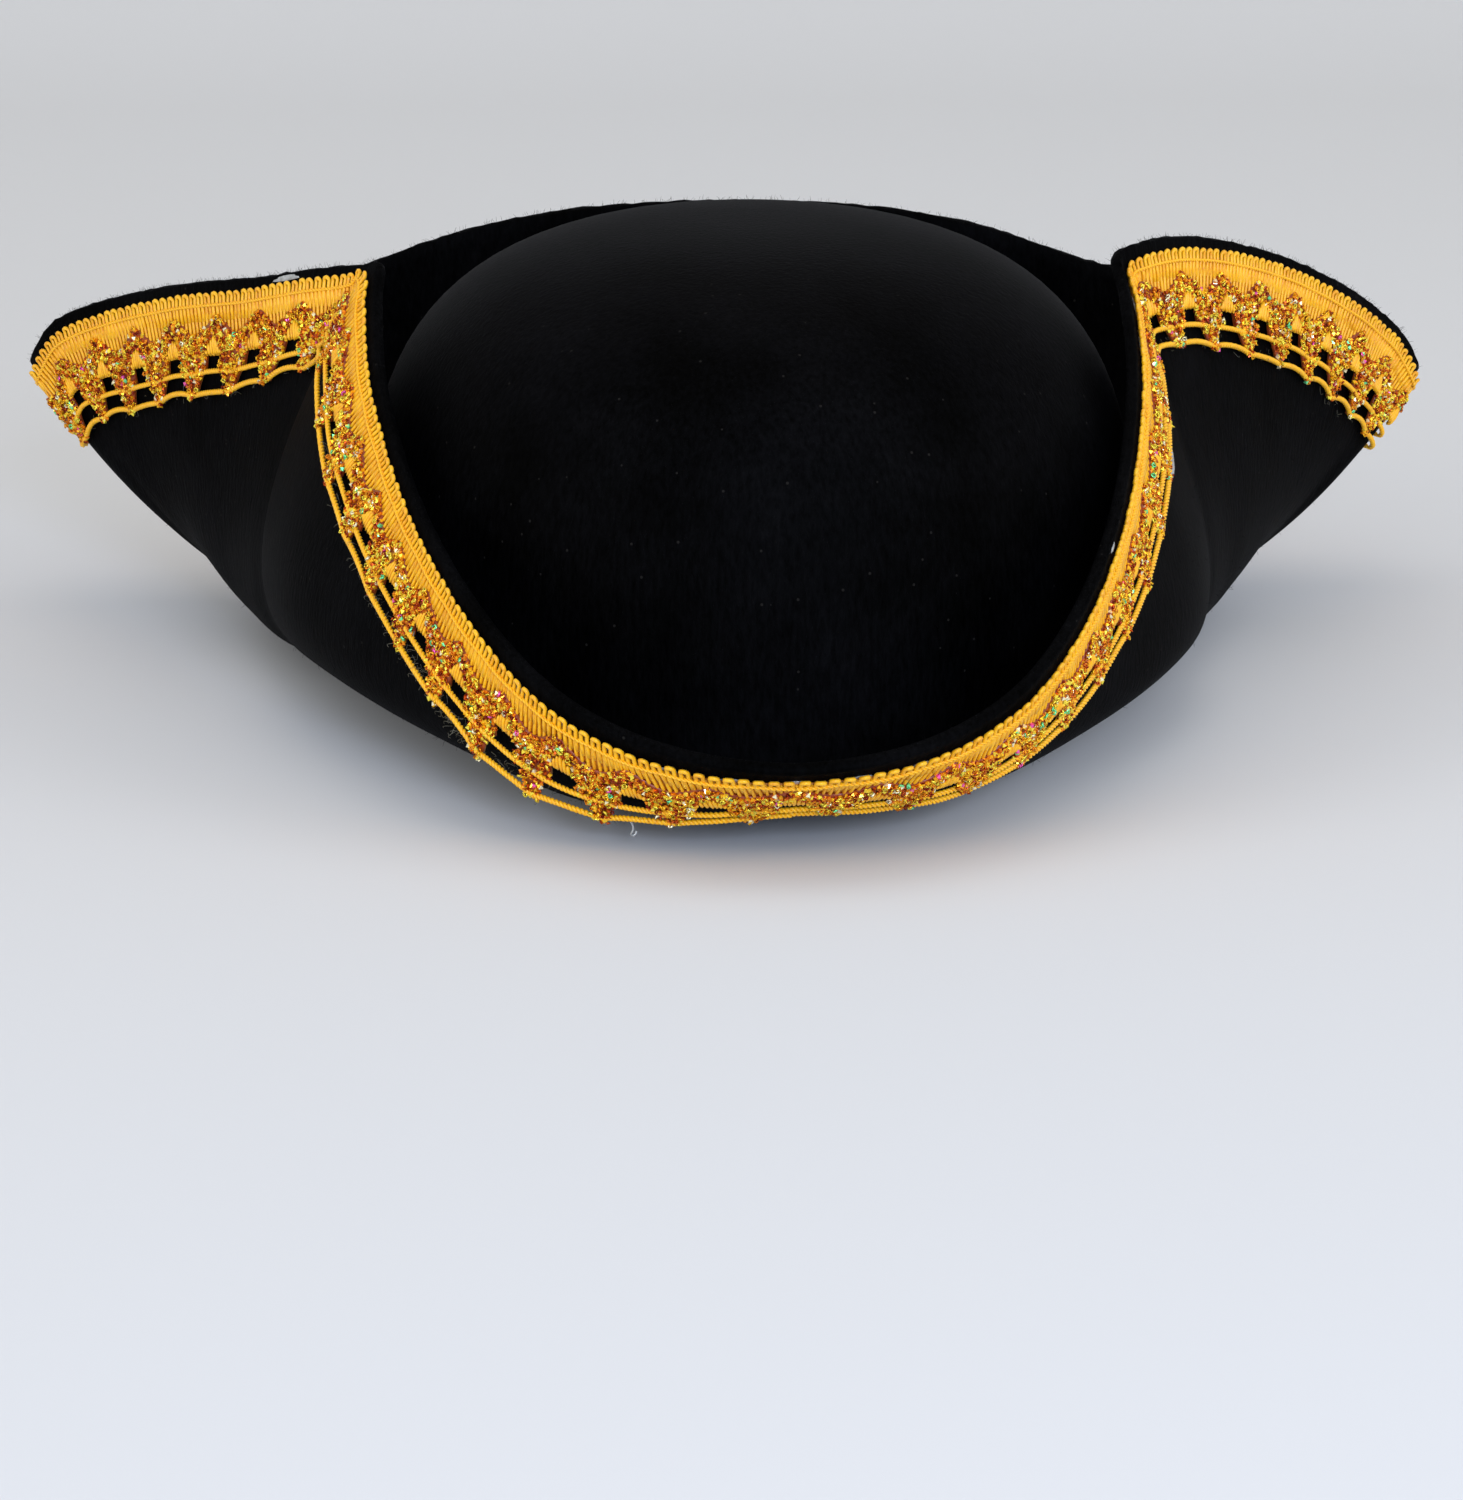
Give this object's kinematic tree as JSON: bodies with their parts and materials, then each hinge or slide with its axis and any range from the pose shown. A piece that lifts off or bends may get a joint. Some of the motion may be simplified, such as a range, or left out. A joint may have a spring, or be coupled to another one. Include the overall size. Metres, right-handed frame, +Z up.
{
  "type": "pirate hat",
  "caption": "Black felt tricorn pirate hat with a round crown, a brim cocked up in three flaps and gold openwork trim along the brim's edge.",
  "frame": {"origin": "centre of the head opening, at the lowest level of the crown's foot", "axes": "+Z up out of the crown, -Y towards the front spout, +X to the right of someone looking at the hat's front"},
  "size_m": [0.3262, 0.2632, 0.1026],
  "materials": {
    "felt": "black needled polyester felt with a short nap",
    "gold_yarn": "satin golden yellow yarn",
    "glitter_gimp": "metallic gold and copper gimp that glitters",
    "hot_glue": "milky clear hot-melt glue",
    "ribbon": "black grosgrain ribbon",
    "thread": "black sewing thread"
  },
  "bodies": {
    "root": {"felt_crown": "felt", "felt_brim": "felt", "trim_band": "gold_yarn", "trim_gimp": "glitter_gimp", "trim_inner_cord": "gold_yarn", "trim_outer_cord": "gold_yarn", "trim_glue": "hot_glue", "sweatband": "ribbon", "sweatband_stitching": "thread"}
  },
  "joints": []
}
